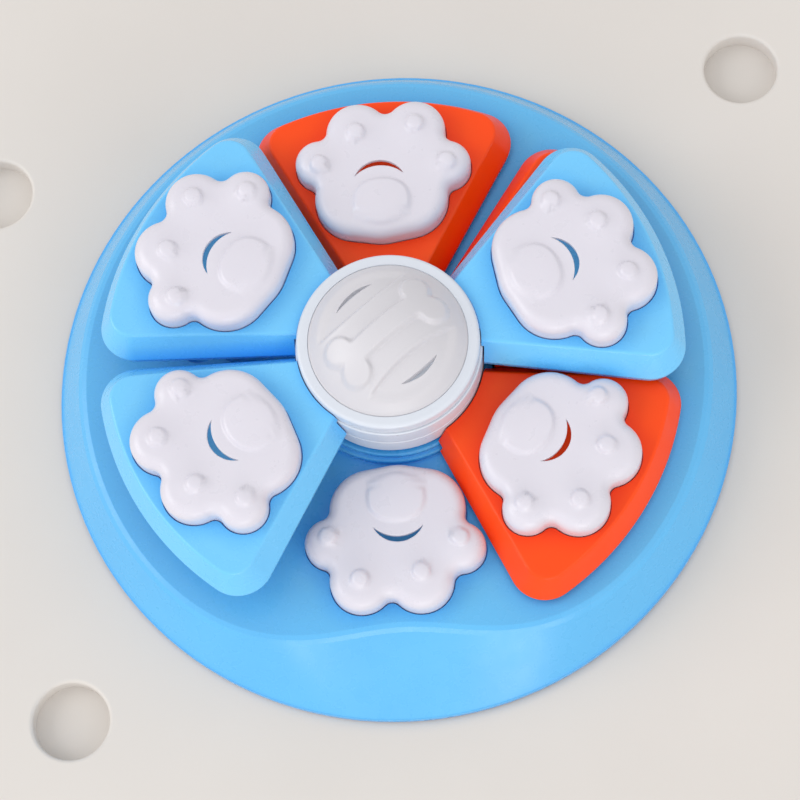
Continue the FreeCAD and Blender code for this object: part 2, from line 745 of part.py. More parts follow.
def middle_hub_ring():
    """White ring that carries the pair of leaves of the upper tier on tongues over its web."""
    dirs = PAIR_LEAF_DIRS.values()
    bottom_z = low_ring_top()
    web_top = bottom_z + WEB_THICK
    body = ring_with_web(bottom_z, CAP_RING_Z - RING_GAP, bottom_z, dirs)
    for d in dirs:
        body = body.cut(turned(tongue_slot(web_top, web_top + TONGUE_THICK + TONGUE_SIDE_FIT), d))
    return one(with_sleeve(body, bottom_z, cup_bottom() - RING_GAP))


def cap_hub_ring():
    """Top ring with the centre cup, the seat of the bone lid and the single leaf's slot."""
    body = disc(CAP_R, CAP_RING_Z, CAP_RING_TOP_Z)
    rim = [e for e in body.Edges if e.BoundBox.ZMin > CAP_RING_TOP_Z - 0.1]
    body = body.makeFillet(CAP_EDGE_ROUND, rim)
    foot = [e for e in body.Edges if e.BoundBox.ZMax < CAP_RING_Z + 0.1]
    body = body.makeChamfer(RING_EDGE, foot)
    cup_low = cup_bottom()
    body = body.fuse(disc(CUP_R + CUP_WALL, cup_low, CAP_RING_Z + 1.0))
    body = body.cut(disc(CUP_R, cup_low + CUP_FLOOR_THICK, CAP_RING_TOP_Z + 1.0))
    body = body.cut(disc(BONE_SEAT_R + BONE_SEAT_FIT, BONE_SEAT_Z - LID_REST_GAP, CAP_RING_TOP_Z + 1.0))
    body = with_sleeve(body, cup_low, SPINDLE_TOP_Z - SLEEVE_END_GAP)
    for d in SINGLE_LEAF_DIRS.values():
        body = body.cut(turned(cap_tongue(0.1), d))
        for p in cap_screw_points():
            body = body.cut(turned(disc(SCREW_R, CAP_RING_Z, CAP_RING_TOP_Z - 2.6, p), d))
    return one(body)


def tongue_screws(leaf_dirs, head_z, up):
    """Screws through a ring's web into the leaf tongues."""
    length = WEB_THICK + TONGUE_THICK
    solids = []
    for d in leaf_dirs:
        for p in tongue_screw_points(HUB_R):
            solids.append(turned(screw(p, head_z, length, up), d))
    return Part.makeCompound(solids)


def cap_screws():
    """Headless screws that lock the single leaf's tongue in the cap ring."""
    low = CAP_RING_Z + 0.1
    high = CAP_RING_TOP_Z - 2.6 - 0.1
    solids = []
    for d in SINGLE_LEAF_DIRS.values():
        for p in cap_screw_points():
            body = disc(SCREW_R, low, high, p).cut(disc(0.7, low - 1.0, low + SCREW_SOCKET_DEPTH, p))
            solids.append(turned(body, d))
    return Part.makeCompound(solids)


# Bone lid

def crown_radius(height):
    """Ball radius of a crown of a height over the seat circle."""
    return (BONE_SEAT_R ** 2 + height ** 2) / (2.0 * height)


def crown_solid(raise_by):
    """Lid body under the crowned top, lifted by an amount."""
    base_z = BONE_SEAT_Z + BONE_EDGE_H
    r = crown_radius(BONE_CROWN_H)
    ball = Part.makeSphere(r, Vector(0, 0, base_z + BONE_CROWN_H - r + raise_by))
    return ball.common(disc(BONE_SEAT_R, BONE_SEAT_Z, base_z + 2.0 * BONE_CROWN_H + raise_by))


def dish_zone(side):
    """Upright block of one dish, between the ridge beside the bone and the dish's outer arc."""
    low = BONE_SEAT_Z
    high = 2.0 * BONE_SEAT_Z
    beyond = disc(RIDGE_BOW_R, low, high, Vector(0, side * (RIDGE_AT + RIDGE_BOW_R), 0))
    return disc(DISH_R, low, high).common(beyond)


def bone_outline_solid(low, high):
    """Bone shape: a bar and two lobes at each end, along +X."""
    bar = Part.makeBox(2.0 * BONE_HALF_LENGTH, BONE_BAR_WIDTH, high - low,
                       Vector(-BONE_HALF_LENGTH, -0.5 * BONE_BAR_WIDTH, low))
    body = bar
    for sx in (-1.0, 1.0):
        for sy in (-1.0, 1.0):
            at = Vector(sx * BONE_HALF_LENGTH, sy * BONE_LOBE_SPREAD, 0)
            body = body.fuse(disc(BONE_LOBE_R, low, high, at))
    return body.removeSplitter()


def vent(side):
    """Crescent vent in the dish beside the bone."""
    y = side * (VENT_R - VENT_SAG)
    a = Vector(-VENT_HALF_LENGTH, y, 0)
    b = Vector(VENT_HALF_LENGTH, y, 0)
    outer = Part.Arc(a, Vector(0, side * VENT_R, 0), b).toShape()
    inner = Part.Arc(b, Vector(0, side * (VENT_R - VENT_WIDTH), 0), a).toShape()
    return slab(Part.Wire([outer, inner]), BONE_SEAT_Z - BONE_PLUG_H - 1.0, 2.0 * BONE_SEAT_Z)


def bone_lid():
    """Domed centre lid with a raised bone, two dished crescents with vents and a plug rim."""
    low = BONE_SEAT_Z
    body = crown_solid(0.0)
    shoulder = [e for e in body.Edges if abs(e.BoundBox.ZMin - low - BONE_EDGE_H) < 0.05
                and e.BoundBox.XLength > BONE_SEAT_R]
    body = body.makeFillet(BONE_EDGE_ROUND, shoulder)
    lowered = crown_solid(-DISH_DEPTH)
    for side in (-1.0, 1.0):
        zone = dish_zone(side)
        body = body.cut(zone).fuse(lowered.common(zone))
    shape = bone_outline_solid(low + BONE_EDGE_H, 2.0 * low)
    body = body.fuse(crown_solid(BONE_RAISE).common(shape))
    room_r = CUP_R - BONE_PLUG_FIT - BONE_PLUG_WALL
    room = crown_solid(-LID_SHELL - DISH_DEPTH).common(disc(room_r, low - 1.0, 2.0 * low))
    plug = ring(CUP_R - BONE_PLUG_FIT, room_r, low - BONE_PLUG_H, low + 0.5)
    body = body.cut(room).fuse(plug)
    for side in (-1.0, 1.0):
        body = body.cut(vent(side))
    return turned(one(body), BONE_DIR)


def export(node, shape):
    """Write one node's solids."""
    shape.exportStep("parts/" + node + ".step")


def build_leaves():
    """Leaves of both tiers with their treat cups and screws."""
    high_face = LOW_FACE_Z + TIER_PITCH
    low = low_leaf()
    high = one(tier_leaf(high_face, low_ring_top() + WEB_THICK))
    for dirs, face_z, leaf in ((LOW_LEAF_DIRS, LOW_FACE_Z, low), (PAIR_LEAF_DIRS, high_face, high),
                               (SINGLE_LEAF_DIRS, high_face, single_leaf())):
        cup = treat_cup(face_z, LEAF_WELL_R, LEAF_POCKET_DEPTH)
        for node, d in dirs.items():
            export(node, turned(leaf, d))
            export(node + "_cup", turned(cup, d + WELL_LEAD_DEG))
    export("orange_leaf_screws", tongue_screws(LOW_LEAF_DIRS.values(), LOW_WEB_Z + WEB_THICK, False))
    export("middle_leaf_screws", tongue_screws(PAIR_LEAF_DIRS.values(), low_ring_top(), True))
    export("upper_leaf_screws", cap_screws())


def build_lids():
    """Paw lids on the tray, on two lower leaves and on the three upper leaves."""
    lid = paw_lid_body()
    export("paw_lid_front", paw_lid(lid, DECK_Z, TRAY_WELL_R, SCOOP_DIR))
    low = {"paw_lid_back": "orange_leaf_back", "paw_lid_right_front": "orange_leaf_front"}
    for node, leaf in low.items():
        export(node, paw_lid(lid, LOW_FACE_Z, LEAF_WELL_R, LOW_LEAF_DIRS[leaf] + WELL_LEAD_DEG))
    high = {"paw_lid_left_back": PAIR_LEAF_DIRS["blue_leaf_left_back"],
            "paw_lid_left_front": PAIR_LEAF_DIRS["blue_leaf_left_front"],
            "paw_lid_right": SINGLE_LEAF_DIRS["blue_leaf_right"]}
    for node, d in high.items():
        export(node, paw_lid(lid, LOW_FACE_Z + TIER_PITCH, LEAF_WELL_R, d + WELL_LEAD_DEG))


def build_tray():
    """Tray with its treat cups, ribs and feet."""
    export("base_tray", tray())
    cup = treat_cup(DECK_Z, TRAY_WELL_R, TRAY_WELL_DEPTH)
    for name, d in zip(TRAY_CUP_NAMES, tray_well_dirs()):
        export("tray_cup_" + name, turned(cup, d))
    export("foot_ribs", foot_ribs())
    export("rubber_feet", rubber_feet())


def build_hub():
    """Spindle, rings, fixings and the bone lid."""
    export("spindle", spindle())
    export("spindle_screws", spindle_screws())
    export("lower_hub_ring", low_hub_ring())
    export("middle_hub_ring", middle_hub_ring())
    export("upper_hub_ring", cap_hub_ring())
    export("retaining_washer", main_washer())
    export("retaining_screw", main_screw())
    export("bone_lid", bone_lid())


build_tray()
build_hub()
build_leaves()
build_lids()
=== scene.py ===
import math

import bmesh
import bpy
import numpy as np
from mathutils import Matrix, Vector


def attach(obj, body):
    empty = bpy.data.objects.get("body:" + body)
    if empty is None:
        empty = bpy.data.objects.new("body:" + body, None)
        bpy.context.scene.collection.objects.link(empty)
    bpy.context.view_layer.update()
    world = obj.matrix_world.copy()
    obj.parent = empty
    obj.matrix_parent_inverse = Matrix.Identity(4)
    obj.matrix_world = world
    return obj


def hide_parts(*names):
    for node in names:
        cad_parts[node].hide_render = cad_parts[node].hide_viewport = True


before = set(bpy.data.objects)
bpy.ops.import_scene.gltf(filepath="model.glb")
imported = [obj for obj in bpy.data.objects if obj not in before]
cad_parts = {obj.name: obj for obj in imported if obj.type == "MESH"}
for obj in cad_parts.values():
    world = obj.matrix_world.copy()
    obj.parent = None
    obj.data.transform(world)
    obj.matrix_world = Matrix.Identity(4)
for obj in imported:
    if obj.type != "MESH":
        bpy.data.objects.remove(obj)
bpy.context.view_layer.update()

MM = 0.001

# Camera, found from the photo: a long lens looking down at the table
CAMERA_AT = (46.0, -317.1, 949.0)
CAMERA_RIGHT = (0.9974965, -0.0379003, -0.0597019)
CAMERA_UP = (0.0545917, 0.9493488, 0.3094456)
CAMERA_BACK = (0.0449498, -0.3119301, 0.9490412)
SENSOR_MM = 36.0
LENS_MM = 108.45
CLIP = (0.05, 20.0)

# Table holes (centre, on the table top)
TABLE_HOLES = ((153.4, 136.3), (-136.2, -132.9), (-169.8, 98.2))
TABLE_HOLE_R = 15.6
TABLE_HOLE_EDGE = 1.6
TABLE_HOLE_DEPTH = 9.0
TABLE_HOLE_SIDES = 96
TABLE_HOLE_MIDDLE_R = 0.01
TABLE_HOLE_BEND_STEPS = 7
TABLE_HALF = 1500.0

# Paw outline, the same lobes as the wells in the frame: outward, sideways, radius
PAW_LOBES = (
    (16.5, 8.0, 12.9),
    (4.5, 24.3, 9.8),
    (-11.6, 10.2, 16.6),
    (-9.4, -0.2, 20.8),
    (-12.0, -10.6, 16.7),
    (0.5, -27.6, 9.8),
    (16.3, -15.5, 12.5),
)
TOE_LOBES = PAW_LOBES[:2] + PAW_LOBES[5:]
HEEL_LOBES = (2, 3)
NOTCH_R = 4.0
LOBE_STEPS = 34
NOTCH_STEPS = 8
HEEL_STEPS = 3

# Paw lid: its section, and the relief on its crown
LID_CROWN = 10.4
LID_SHOULDER = 5.0
LID_ROUND = 5.2
LID_ROUND_POWER = 2.2
LID_PLUG = 3.0
LID_WALL = 1.8
LID_MIDDLE = (-2.0, -2.0)
LID_INSETS = (0.0, 0.05, 0.16, 0.36, 0.65, 1.05, 1.5, 2.0, 2.6, 3.2, 3.9, 4.6, 5.3, 6.0, 6.8, 7.6)
LID_INNER_STEPS = 34
TOE_DOME_H = 1.3
TOE_DOME_SPREAD = 0.62
TOE_BUTTONS = ((15.0, 8.5), (2.0, 24.0), (-0.8, -27.7), (17.0, -15.7))
TOE_BUTTON_R = 3.9
TOE_BUTTON_H = 1.5
TOE_BUTTON_FOOT = (1.12, 0.42)
TOE_BUTTON_CAP = 0.3
HEEL_PAD_AT = (-15.6, -0.4)
HEEL_PAD_R = (10.2, 11.8)
HEEL_PAD_POWER = 2.2
HEEL_PAD_H = 2.0
HEEL_PAD_FOOT = (1.06, 0.2)
HEEL_PAD_STEP = 0.6
HEEL_PAD_CAP = 0.4
HEEL_PAD_CAP_POWER = 2.5
PALM_DIP = 0.3
PALM_DIP_R = (16.0, 20.0)
SLOT_OUT = 1.2
SLOT_BACK = -4.0
SLOT_HALF = 9.9
SLOT_WIDTH = 2.4

# Paw lids: node, direction of its well in degrees, distance of its well, height of the face around it
PAW_LIDS = (
    ("paw_lid_back", 91.1, 79.0, 40.0),
    ("paw_lid_right_front", 326.5, 79.0, 40.0),
    ("paw_lid_left_back", 149.6, 79.0, 57.0),
    ("paw_lid_left_front", 211.8, 79.0, 57.0),
    ("paw_lid_right", 21.3, 79.0, 57.0),
    ("paw_lid_front", 270.0, 72.6, 25.0),
)

# Bone lid: the plug rim, the seat edge and the dome over it
BONE_DIR = 38.4
BONE_R = 31.5
BONE_SEAT_Z = 58.2
BONE_EDGE_H = 2.0
BONE_EDGE_DROP = 0.6
BONE_EDGE_BEND = (0.5, 0.3, 0.55)
BONE_EDGE_STEPS = 5
BONE_CROWN_H = 15.5
BONE_PLUG_R = 29.7
BONE_PLUG_H = 2.6
BONE_PLUG_WALL = 1.8
BONE_WALL = 2.0
DOME_RINGS = 96
DOME_STEPS = 300

# Raised bone on the dome
BONE_HALF = 19.4
BONE_BAR_HALF = 4.8
BONE_LOBE_R = 5.9
BONE_LOBE_SPREAD = 5.6
BONE_NOTCH_SOFT = 0.9
BONE_NECK_SOFT = 2.2
BONE_RAISE = 2.3
BONE_FOOT = (0.7, 2.0)

# Dished fields beside the bone, the ridges that bound them and the vents in them
DISH_R = 26.4
DISH_DEPTH = 1.7
DISH_RIM = (1.6, 5.0)
DISH_RIDGE = (0.3, 1.1)
RIDGE_AT = 13.1
RIDGE_BOW_R = 139.0
RIDGE_LIP_H = 0.25
RIDGE_LIP_AT = 0.9
RIDGE_LIP_FADE = 3.0
VENT_R = 22.0
VENT_SAG = 2.5
VENT_WIDTH = 1.9
VENT_HALF = 9.2

# Cutters for slots and vents
CUT_STEPS = 28
SLOT_CUT_Z = (-20.0, 30.0)
VENT_CUT_Z = (40.0, 120.0)

# Texture scales in cycles per metre, lengths in millimetres
TINT_SPAN = (0.3, 0.7)
CLOUD_SCALE = 28.0
SCUFF_SCALE = 160.0
WAVE_SCALE = 45.0
SPARK_SCALE = 2600.0
SPARK_BUMP = (0.12, 0.08)
WAVE_BUMP = (0.05, 1.2)
ROUGH_SPREAD = (0.05, 0.08)
SOFT_EDGE_MM = 0.35
SHADER_SAMPLES = 6
# Painted highlight on sharp edges: where it shows and its colour
EDGE_MATCH = (0.975, 0.9)
EDGE_HIGHLIGHT_COLOUR = (0.85, 0.93, 1.0)
# Reach of the painted shade in narrow gaps, in millimetres
GAP_SHADE_MM = 9.0
GLOW_SHARE = 0.12
GLOW_MM = 1.6

# Lamps: name, place in metres, width and height, watts
LAMPS = (
    ("window", (-3.2, 0.0, 2.2), (2.4, 2.4), 49.0),
    ("room_lamp", (2.3, -2.3, 2.2), (2.4, 2.4), 16.0),
    ("front_lamp", (0.4, -3.5, 0.9), (2.4, 1.4), 27.0),
)
ROOM_LIGHT = 0.86


# Materials

def new_material(name):
    """Empty node material with its nodes, links and shader."""
    mat = bpy.data.materials.new(name)
    mat.use_nodes = True
    return mat, mat.node_tree.nodes, mat.node_tree.links, mat.node_tree.nodes["Principled BSDF"]


def noise(nodes, links, scale, detail, coords):
    """Noise texture in object space; the scale is in cycles per metre."""
    n = nodes.new("ShaderNodeTexNoise")
    n.inputs["Scale"].default_value = scale
    n.inputs["Detail"].default_value = detail
    links.new(coords.outputs["Object"], n.inputs["Vector"])
    return n.outputs["Fac"]


def tint(nodes, links, fac, low, high):
    """Colour ramp between two colours."""
    ramp = nodes.new("ShaderNodeValToRGB")
    for stop, at, colour in zip(ramp.color_ramp.elements, TINT_SPAN, (low, high)):
        stop.position = at
        stop.color = (*colour, 1.0)
    links.new(fac, ramp.inputs["Fac"])
    return ramp.outputs["Color"]


def span(nodes, links, value, limits, low, high):
    """Value that runs from low to high between two limits."""
    m = nodes.new("ShaderNodeMapRange")
    m.inputs["From Min"].default_value, m.inputs["From Max"].default_value = limits
    m.inputs["To Min"].default_value = low
    m.inputs["To Max"].default_value = high
    links.new(value, m.inputs["Value"])
    return m.outputs["Result"]


def bump(nodes, links, height, strength, depth_mm):
    """Bump from a height, whose depth is in millimetres."""
    b = nodes.new("ShaderNodeBump")
    b.inputs["Strength"].default_value = strength
    b.inputs["Distance"].default_value = depth_mm * MM
    links.new(height, b.inputs["Height"])
    return b


def colour_mix(nodes, links, factor):
    """Mix of two colours by a factor."""
    mix = nodes.new("ShaderNodeMix")
    mix.data_type = "RGBA"
    links.new(factor, mix.inputs["Factor"])
    return mix


def painted_gap_shade(nodes, links, colour, shade):
    """Painted shade: a deeper colour in narrow gaps, mixed in by ambient occlusion, standing in for the
    light that comes through the plastic itself.
    """
    near = nodes.new("ShaderNodeAmbientOcclusion")
    near.samples = SHADER_SAMPLES
    near.inputs["Distance"].default_value = GAP_SHADE_MM * MM
    mix = colour_mix(nodes, links, near.outputs["AO"])
    mix.inputs["A"].default_value = (*shade, 1.0)
    links.new(colour, mix.inputs["B"])
    return mix.outputs["Result"]


def painted_edge_highlight(nodes, links, colour, rounded, strength):
    """Painted highlight: a paler hairline on sharp edges, where the rounded normal leaves the true one."""
    true = nodes.new("ShaderNodeNewGeometry")
    match = nodes.new("ShaderNodeVectorMath")
    match.operation = "DOT_PRODUCT"
    links.new(rounded, match.inputs[0])
    links.new(true.outputs["Normal"], match.inputs[1])
    mask = span(nodes, links, match.outputs["Value"], EDGE_MATCH, 0.0, strength)
    mix = colour_mix(nodes, links, mask)
    mix.inputs["B"].default_value = (*EDGE_HIGHLIGHT_COLOUR, 1.0)
    links.new(colour, mix.inputs["A"])
    return mix.outputs["Result"]


def thin_wall(nodes, links, shader, share):
    """Let a share of the light through a thin wall, which still looks solid."""
    ray = nodes.new("ShaderNodeLightPath")
    lit = nodes.new("ShaderNodeMath")
    lit.operation = "MAXIMUM"
    links.new(ray.outputs["Is Shadow Ray"], lit.inputs[0])
    links.new(ray.outputs["Is Diffuse Ray"], lit.inputs[1])
    left = nodes.new("ShaderNodeMath")
    left.operation = "MULTIPLY_ADD"
    links.new(lit.outputs[0], left.inputs[0])
    left.inputs[1].default_value = -share
    left.inputs[2].default_value = 1.0
    links.new(left.outputs[0], shader.inputs["Alpha"])


def plastic_normal(nodes, links, coords, shader):
    """Softened edges under a broad flow of the moulding and a fine spark texture."""
    soft = nodes.new("ShaderNodeBevel")
    soft.samples = SHADER_SAMPLES
    soft.inputs["Radius"].default_value = SOFT_EDGE_MM * MM
    broad = bump(nodes, links, noise(nodes, links, WAVE_SCALE, 1.0, coords), *WAVE_BUMP)
    fine = bump(nodes, links, noise(nodes, links, SPARK_SCALE, 2.0, coords), *SPARK_BUMP)
    links.new(soft.outputs["Normal"], broad.inputs["Normal"])
    links.new(broad.outputs["Normal"], fine.inputs["Normal"])
    links.new(fine.outputs["Normal"], shader.inputs["Normal"])
    return soft.outputs["Normal"]


def moulded_plastic(name, colour, deep, rough, shine=0.5, edge=0.3, shade=None, glow_colour=None,
                    lets_through=0.0):
    """Moulded plastic: faint cloudy tint, fine spark texture, softened edges and small scuffs, with a
    painted highlight on sharp edges (strength edge) and painted shade in narrow gaps (colour shade).
    """
    mat, nodes, links, shader = new_material(name)
    coords = nodes.new("ShaderNodeTexCoord")
    base = tint(nodes, links, noise(nodes, links, CLOUD_SCALE, 3.0, coords), deep, colour)
    scuff = noise(nodes, links, SCUFF_SCALE, 5.0, coords)
    wear = span(nodes, links, scuff, TINT_SPAN, rough - ROUGH_SPREAD[0], rough + ROUGH_SPREAD[1])
    links.new(wear, shader.inputs["Roughness"])
    rounded = plastic_normal(nodes, links, coords, shader)
    # Painted shade in narrow gaps, then a painted highlight on sharp edges, both mixed into the base
    # colour
    if shade:
        base = painted_gap_shade(nodes, links, base, shade)
    links.new(painted_edge_highlight(nodes, links, base, rounded, edge), shader.inputs["Base Color"])
    shader.inputs["Specular IOR Level"].default_value = shine
    if glow_colour:
        shader.inputs["Subsurface Weight"].default_value = GLOW_SHARE
        shader.inputs["Subsurface Scale"].default_value = GLOW_MM * MM
        shader.inputs["Subsurface Radius"].default_value = glow_colour
    if lets_through > 0.0:
        thin_wall(nodes, links, shader, lets_through)
    return mat


def plated_steel(name):
    """Zinc-plated screw steel with a blotchy tint and roughness."""
    mat, nodes, links, shader = new_material(name)
    coords = nodes.new("ShaderNodeTexCoord")
    blot = noise(nodes, links, 900.0, 4.0, coords)
    base = tint(nodes, links, blot, (0.42, 0.43, 0.45), (0.60, 0.61, 0.63))
    links.new(base, shader.inputs["Base Color"])
    links.new(span(nodes, links, blot, TINT_SPAN, 0.22, 0.40), shader.inputs["Roughness"])
    shader.inputs["Metallic"].default_value = 1.0
    return mat


def matt_surface(name, low, high, rough, cloud, grain, strength):
    """Matt surface; cloud and grain are the scale and detail of its mottling and of its bump."""
    mat, nodes, links, shader = new_material(name)
    coords = nodes.new("ShaderNodeTexCoord")
    base = tint(nodes, links, noise(nodes, links, *cloud, coords), low, high)
    links.new(base, shader.inputs["Base Color"])
    shader.inputs["Roughness"].default_value = rough
    rise = bump(nodes, links, noise(nodes, links, *grain, coords), strength, 0.2)
    links.new(rise.outputs["Normal"], shader.inputs["Normal"])
    return mat


# edge is the strength of the painted highlight on sharp edges; shade is the colour of the painted shade in
# narrow gaps
TRAY_BLUE = moulded_plastic("tray_blue", (0.118, 0.487, 0.855), (0.109, 0.462, 0.835), rough=0.27,
                            edge=0.15, shade=(0.005, 0.33, 0.95))
LEAF_BLUE = moulded_plastic("leaf_blue", (0.17, 0.585, 0.96), (0.16, 0.563, 0.94), rough=0.27,
                            shade=(0.01, 0.38, 1.0))
LEAF_ORANGE = moulded_plastic("leaf_orange", (1.0, 0.074, 0.0015), (0.98, 0.066, 0.001), rough=0.38,
                              shine=0.3, edge=0.1, shade=(0.95, 0.02, 0.0))
LID_WHITE = moulded_plastic("lid_white", (0.71, 0.685, 0.755), (0.69, 0.665, 0.735), rough=0.3,
                            glow_colour=(1.0, 0.9, 0.9), lets_through=0.52)
DOME_WHITE = moulded_plastic("dome_white", (0.65, 0.635, 0.67), (0.63, 0.615, 0.65), rough=0.34,
                             shine=0.45, glow_colour=(1.0, 0.95, 0.9), lets_through=0.75)
RING_WHITE = moulded_plastic("ring_white", (0.69, 0.727, 0.80), (0.668, 0.705, 0.775), rough=0.32)
INNER_WHITE = moulded_plastic("inner_white", (0.64, 0.66, 0.70), (0.60, 0.62, 0.66), rough=0.55,
                              shine=0.4)
STEEL = plated_steel("screw_steel")
RUBBER = matt_surface("foot_rubber", (0.045, 0.047, 0.05), (0.08, 0.082, 0.086), 0.85,
                      (500.0, 4.0), (500.0, 4.0), 0.3)
TABLE = matt_surface("table_white", (0.677, 0.638, 0.600), (0.704, 0.664, 0.626), 0.55,
                     (9.0, 4.0), (900.0, 3.0), 0.15)

MATERIAL_NODES = (
    (TRAY_BLUE, ("base_tray", "foot_ribs", "tray_cup_front", "tray_cup_right_front",
                 "tray_cup_right_back", "tray_cup_back", "tray_cup_left_back",
                 "tray_cup_left_front")),
    (LEAF_ORANGE, ("orange_leaf_back", "orange_leaf_back_cup", "orange_leaf_middle",
                   "orange_leaf_middle_cup", "orange_leaf_front", "orange_leaf_front_cup")),
    (LEAF_BLUE, ("blue_leaf_left_back", "blue_leaf_left_back_cup", "blue_leaf_left_front",
                 "blue_leaf_left_front_cup", "blue_leaf_right", "blue_leaf_right_cup")),
    (RING_WHITE, ("lower_hub_ring", "middle_hub_ring", "upper_hub_ring")),
    (INNER_WHITE, ("spindle",)),
    (STEEL, ("spindle_screws", "orange_leaf_screws", "middle_leaf_screws", "upper_leaf_screws",
             "retaining_washer", "retaining_screw")),
    (RUBBER, ("rubber_feet",)),
)


def paint_nodes():
    """Give every CAD node that stays its own finish."""
    for mat, names in MATERIAL_NODES:
        for name in names:
            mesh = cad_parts[name].data
            mesh.materials.clear()
            mesh.materials.append(mat)


# Paw outline as points

def unit(v):
    """Vector of length one."""
    return v / np.linalg.norm(v)


def notch_centre(a, b, radius):
    """Centre of the hollow between two neighbouring lobes."""
    ra, rb = a[2] + radius, b[2] + radius
    d = np.array([b[0] - a[0], b[1] - a[1]])
    n = np.linalg.norm(d)
    along = (ra * ra - rb * rb + n * n) / (2.0 * n)
    off = math.sqrt(max(ra * ra - along * along, 0.0))
    u = d / n
    return np.array([a[0], a[1]]) + along * u + off * np.array([u[1], -u[0]])


def arc_points(centre, start, end, count, turn):
    """Points along an arc from start towards end, end left out; turn is +1 or -1."""
    a0 = math.atan2(*(start - centre)[::-1])
    a1 = math.atan2(*(end - centre)[::-1])
    if turn > 0 and a1 < a0:
        a1 += 2.0 * math.pi
    if turn < 0 and a1 > a0:
        a1 -= 2.0 * math.pi
    r = np.linalg.norm(start - centre)
    t = a0 + (a1 - a0) * np.arange(count) / count
    return centre + r * np.stack([np.cos(t), np.sin(t)], 1)


def paw_points(grow):
    """Closed paw outline grown by a distance, always with the same number of points."""
    lobes = [(x, y, r + grow) for x, y, r in PAW_LOBES]
    notch = NOTCH_R - grow
    joins = []
    for i, a in enumerate(lobes):
        b = lobes[(i + 1) % len(lobes)]
        ca, cb = np.array(a[:2]), np.array(b[:2])
        if i in HEEL_LOBES:
            d = cb - ca
            n = np.linalg.norm(d)
            k = (a[2] - b[2]) / n
            s = math.sqrt(1.0 - k * k)
            normal = np.array([d[1], -d[0]]) / n * s + d / n * k
            joins.append((ca + normal * a[2], cb + normal * b[2], None))
        else:
            f = notch_centre(a, b, notch)
            joins.append((ca + unit(f - ca) * a[2], cb + unit(f - cb) * b[2], f))
    out = []
    for i, lobe in enumerate(lobes):
        out.append(arc_points(np.array(lobe[:2]), joins[i - 1][1], joins[i][0], LOBE_STEPS, 1))
        end, nxt, hollow = joins[i]
        if hollow is None:
            t = (np.arange(HEEL_STEPS) / HEEL_STEPS)[:, None]
            out.append(end + (nxt - end) * t)
        else:
            out.append(arc_points(hollow, end, nxt, NOTCH_STEPS, -1))
    return np.concatenate(out)


def smooth(t):
    """Eased step from 0 to 1."""
    t = np.clip(t, 0.0, 1.0)
    return t * t * (3.0 - 2.0 * t)


def edge_distance(points, outline):
    """Distance of each point from a closed outline of straight runs."""
    a = outline
    b = np.roll(outline, -1, 0)
    ab = b - a
    best = np.full(len(points), 1e9)
    for i in range(len(a)):
        ap = points - a[i]
        t = np.clip((ap @ ab[i]) / (ab[i] @ ab[i] + 1e-12), 0.0, 1.0)
        d = np.hypot(*(ap - t[:, None] * ab[i]).T)
        best = np.minimum(best, d)
    return best


def foot(inside, shape):
    """Eased step at the foot of a raised form: where it is full and how wide it runs out."""
    start, width = shape
    return smooth((start - inside) / width)


# Paw lid as a pillowed skin

def lid_height(points, depth):
    """Height of the lid's skin over the face, from how far in from the edge a point is."""
    x, y = points[:, 0], points[:, 1]
    u = np.clip(depth / LID_ROUND, 0.0, 1.0)
    z = LID_SHOULDER + (LID_CROWN - LID_SHOULDER) * (1.0 - (1.0 - u) ** LID_ROUND_POWER) ** 0.5
    for cx, cy, r in TOE_LOBES:
        d = np.hypot(x - cx, y - cy)
        z += TOE_DOME_H * np.exp(-(d / (TOE_DOME_SPREAD * r)) ** 2)
    for cx, cy in TOE_BUTTONS:
        d = np.hypot(x - cx, y - cy) / TOE_BUTTON_R
        z += TOE_BUTTON_H * (foot(d, TOE_BUTTON_FOOT) + TOE_BUTTON_CAP * np.clip(1.0 - d * d, 0.0, 1.0))
    px = (x - HEEL_PAD_AT[0]) / HEEL_PAD_R[0]
    py = (y - HEEL_PAD_AT[1]) / HEEL_PAD_R[1]
    oval = (np.abs(px) ** HEEL_PAD_POWER + np.abs(py) ** HEEL_PAD_POWER) ** (1.0 / HEEL_PAD_POWER)
    z += HEEL_PAD_H * (HEEL_PAD_STEP * foot(oval, HEEL_PAD_FOOT)
                       + HEEL_PAD_CAP * np.clip(1.0 - oval ** HEEL_PAD_CAP_POWER, 0.0, 1.0))
    z -= PALM_DIP * np.exp(-(x / PALM_DIP_R[0]) ** 2 - (y / PALM_DIP_R[1]) ** 2)
    return z


def lid_skin(grow, drop):
    """Rings of points from the plug's edge up over the crown, and the middle point."""
    outline = paw_points(0.0)
    edge = paw_points(grow)
    rings = [np.column_stack([edge, np.full(len(edge), z)]) for z in (-LID_PLUG, 0.0, 0.5 * LID_SHOULDER)]
    flat = [paw_points(grow - inset) for inset in LID_INSETS]
    inner = flat[-1]
    middle = np.array(LID_MIDDLE)
    flat += [inner + (middle - inner) * (i / LID_INNER_STEPS) for i in range(1, LID_INNER_STEPS)]
    for p in flat + [middle[None, :]]:
        rings.append(np.column_stack([p, lid_height(p, edge_distance(p, outline)) - drop]))
    return rings[:-1], rings[-1][0]


def skin_faces(offset, ring_count, n, top_index, flip):
    """Quads between rings and a fan to the middle point."""
    faces = []
    for r in range(ring_count - 1):
        for i in range(n):
            j = (i + 1) % n
            a = offset + r * n
            q = (a + i, a + j, a + n + j, a + n + i)
            faces.append(q[::-1] if flip else q)
    a = offset + (ring_count - 1) * n
    for i in range(n):
        t = (a + i, a + (i + 1) % n, top_index)
        faces.append(t[::-1] if flip else t)
    return faces


